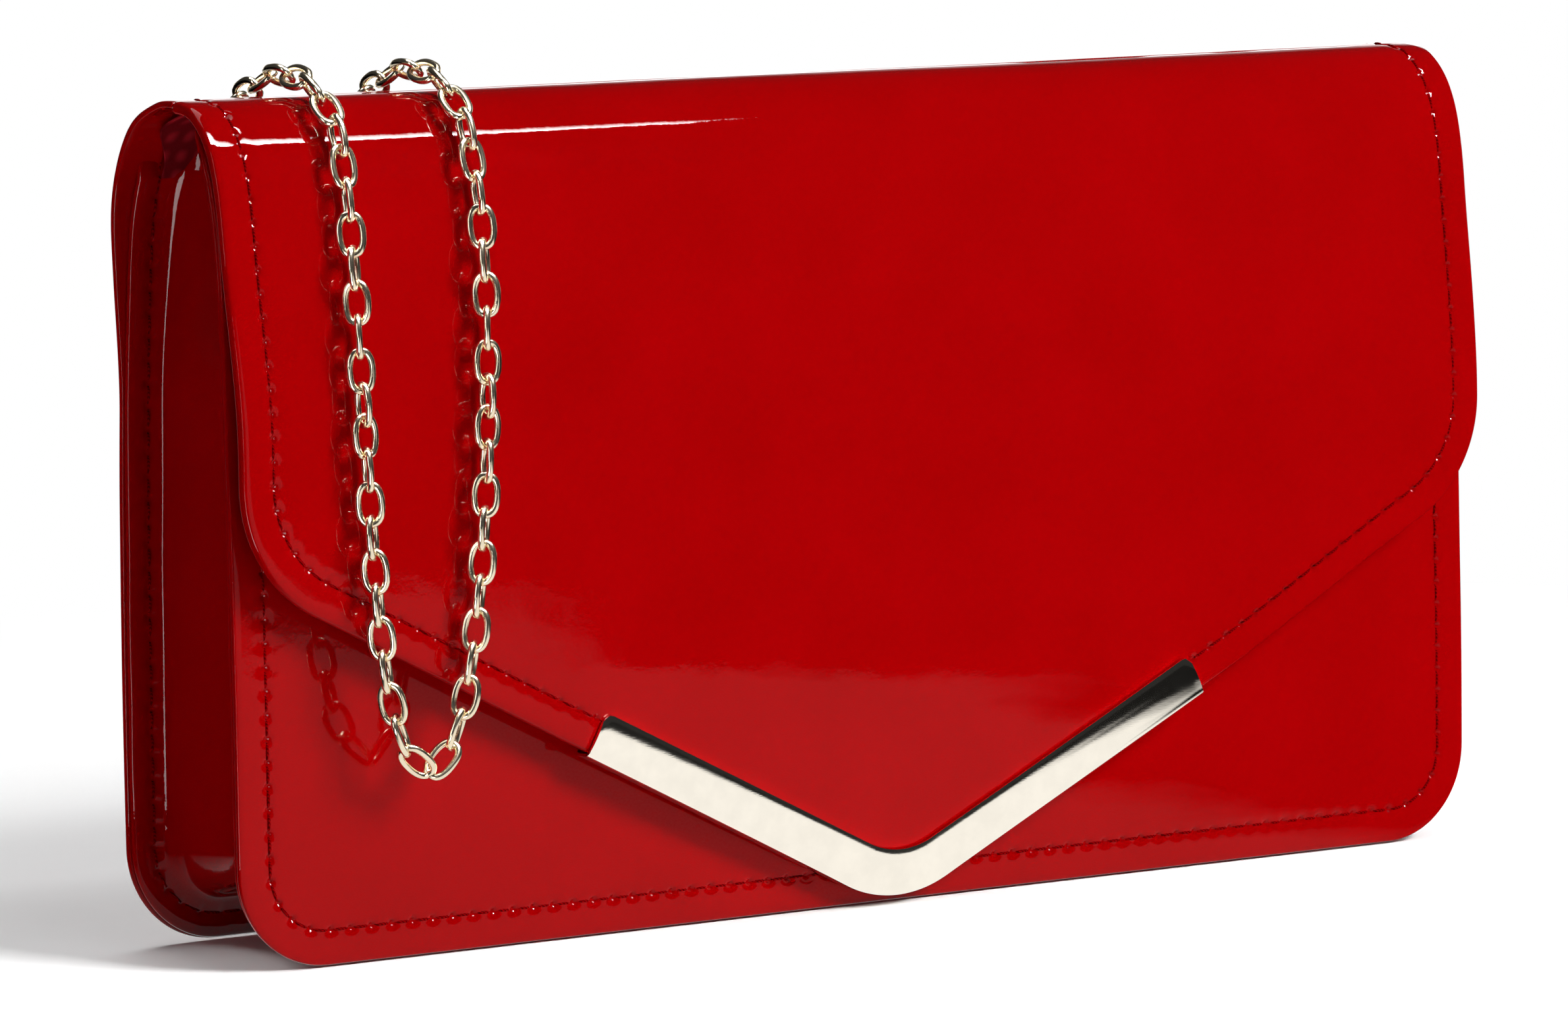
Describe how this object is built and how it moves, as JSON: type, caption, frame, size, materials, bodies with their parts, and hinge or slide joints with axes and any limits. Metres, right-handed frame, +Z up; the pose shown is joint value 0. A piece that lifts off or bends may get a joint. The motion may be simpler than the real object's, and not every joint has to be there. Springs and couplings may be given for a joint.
{
  "type": "clutch purse",
  "caption": "Envelope clutch purse with a folding flap, a bent metal bar on its point, a magnetic snap, a recessed gusset and a draped cable chain.",
  "frame": {"origin": "middle of the whole purse's footprint, with its chain, on the surface the purse stands on", "axes": "+X along the width, towards the right seen from the front; -Y out of the front; +Z up"},
  "size_m": [0.265, 0.0588, 0.152],
  "materials": {
    "patent": "red patent coating, mirror gloss",
    "lining": "matt woven lining",
    "board": "matt pressed stiffener",
    "gold": "polished pale gold plating",
    "nickel": "plated, satin",
    "magnet": "plain ferrite"
  },
  "bodies": {
    "body": {"rear_panel": "patent", "rear_board": "board", "rear_lining": "lining", "gusset": "patent", "gusset_lining": "lining", "base_board": "board", "slip_pocket": "lining", "pocket_binding": "patent", "d_ring_tab_left": "patent", "d_ring_tab_right": "patent"},
    "front": {"front_panel": "patent", "front_board": "board", "front_lining": "lining", "snap_socket": "nickel", "snap_backplate": "nickel", "snap_magnet": "magnet"},
    "spine": {"spine_cover": "patent", "spine_lining": "lining", "chain_over_top_left": "gold", "chain_over_top_right": "gold"},
    "flap": {"flap_cover": "patent", "flap_board": "board", "flap_lining": "lining", "v_trim": "gold", "snap_stud": "nickel"},
    "chain_upper": {"chain_strand_left": "gold", "chain_strand_right": "gold"},
    "chain_lower": {"chain_loop_bottom": "gold"},
    "chain_tail_left": {"chain_tail_left": "gold", "clasp_eye_left": "gold"},
    "chain_tail_right": {"chain_tail_right": "gold", "clasp_eye_right": "gold"},
    "clasp_left": {"clasp_hook_left": "gold", "clasp_pin_left": "nickel"},
    "clasp_right": {"clasp_hook_right": "gold", "clasp_pin_right": "nickel"},
    "clasp_lever_left": {"clasp_lever_left": "gold"},
    "clasp_lever_right": {"clasp_lever_right": "gold"},
    "d_ring_left": {"d_ring_left": "gold"},
    "d_ring_right": {"d_ring_right": "gold"}
  },
  "joints": [
    {"name": "flap_fold", "type": "hinge", "parent": "spine", "child": "flap", "pos_m": [0, -0.02207, 0.13867], "axis": [-1, 0, 0], "range_deg": [0, 90]},
    {"name": "spine_fold", "type": "hinge", "parent": "body", "child": "spine", "pos_m": [0, 0.01743, 0.1372], "axis": [-1, 0, 0], "range_deg": [0, 67.5]},
    {"name": "mouth_tilt", "type": "hinge", "parent": "body", "child": "front", "pos_m": [0, -0.01557, 0], "axis": [1, 0, 0], "range_deg": [0, 8.55]},
    {"name": "chain_lift", "type": "hinge", "parent": "flap", "child": "chain_upper", "pos_m": [-0.0983, -0.02207, 0.13867], "axis": [-1, 0, 0], "range_deg": [0, 40]},
    {"name": "chain_bend", "type": "hinge", "parent": "chain_upper", "child": "chain_lower", "pos_m": [-0.0983, -0.02676, 0.09381], "axis": [-1, 0, 0], "range_deg": [0, 70]},
    {"name": "chain_tail_left_swing", "type": "hinge", "parent": "body", "child": "chain_tail_left", "pos_m": [-0.111, 0.01743, 0.1372], "axis": [1, 0, 0], "range_deg": [0, 60]},
    {"name": "clasp_left_swivel", "type": "hinge", "parent": "chain_tail_left", "child": "clasp_left", "pos_m": [-0.111, 0.02755, 0.0472], "axis": [0, 0, 1], "range_deg": [-20, 20]},
    {"name": "clasp_left_lever", "type": "hinge", "parent": "clasp_left", "child": "clasp_lever_left", "pos_m": [-0.1081, 0.02755, 0.0406], "axis": [0, 1, 0], "range_deg": [0, 25]},
    {"name": "chain_tail_right_swing", "type": "hinge", "parent": "body", "child": "chain_tail_right", "pos_m": [-0.086, 0.01743, 0.1372], "axis": [1, 0, 0], "range_deg": [0, 60]},
    {"name": "clasp_right_swivel", "type": "hinge", "parent": "chain_tail_right", "child": "clasp_right", "pos_m": [-0.086, 0.02755, 0.0472], "axis": [0, 0, 1], "range_deg": [-20, 20]},
    {"name": "clasp_right_lever", "type": "hinge", "parent": "clasp_right", "child": "clasp_lever_right", "pos_m": [-0.0831, 0.02755, 0.0406], "axis": [0, 1, 0], "range_deg": [0, 25]},
    {"name": "d_ring_left_swing", "type": "hinge", "parent": "body", "child": "d_ring_left", "pos_m": [-0.1088, 0.00443, 0.124], "axis": [0, 1, 0], "range_deg": [0, 100]},
    {"name": "d_ring_right_swing", "type": "hinge", "parent": "body", "child": "d_ring_right", "pos_m": [0.1088, 0.00443, 0.124], "axis": [0, -1, 0], "range_deg": [0, 100]}
  ],
  "couplings": [
    {"joint": "spine_fold", "follows": "flap_fold", "ratio": 0.75},
    {"joint": "mouth_tilt", "follows": "flap_fold", "ratio": 0.095}
  ]
}
